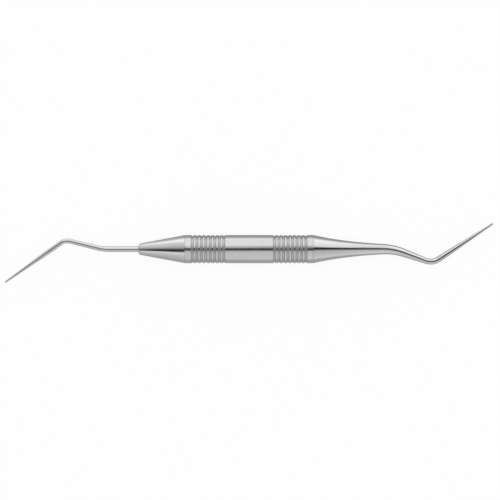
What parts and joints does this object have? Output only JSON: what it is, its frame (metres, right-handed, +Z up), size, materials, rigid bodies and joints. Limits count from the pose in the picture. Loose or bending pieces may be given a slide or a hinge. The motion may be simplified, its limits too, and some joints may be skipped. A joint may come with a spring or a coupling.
{
  "type": "dental elevator",
  "caption": "Slim double-ended dental root elevator: hollow steel handle with ring grips, a bent fine point in a nose cone at one end and a forged cone with a bent fine point at the other.",
  "frame": {"origin": "middle of the handle, on its axis", "axes": "+X along the handle to the forged end; both working ends bend in the XY plane, and +Z is up off the table it lies on"},
  "size_m": [0.1645, 0.0201, 0.0094],
  "materials": {
    "polished_steel": "mirror-polished surgical stainless steel",
    "satin_steel": "polished stainless steel with fine turning marks",
    "turned_steel": "turned stainless steel"
  },
  "bodies": {
    "root": {"handle_tube": "satin_steel", "left_socket_bush": "turned_steel", "right_socket_bush": "turned_steel", "left_nose_cone": "polished_steel", "left_working_end": "polished_steel", "right_working_end": "polished_steel"}
  },
  "joints": []
}
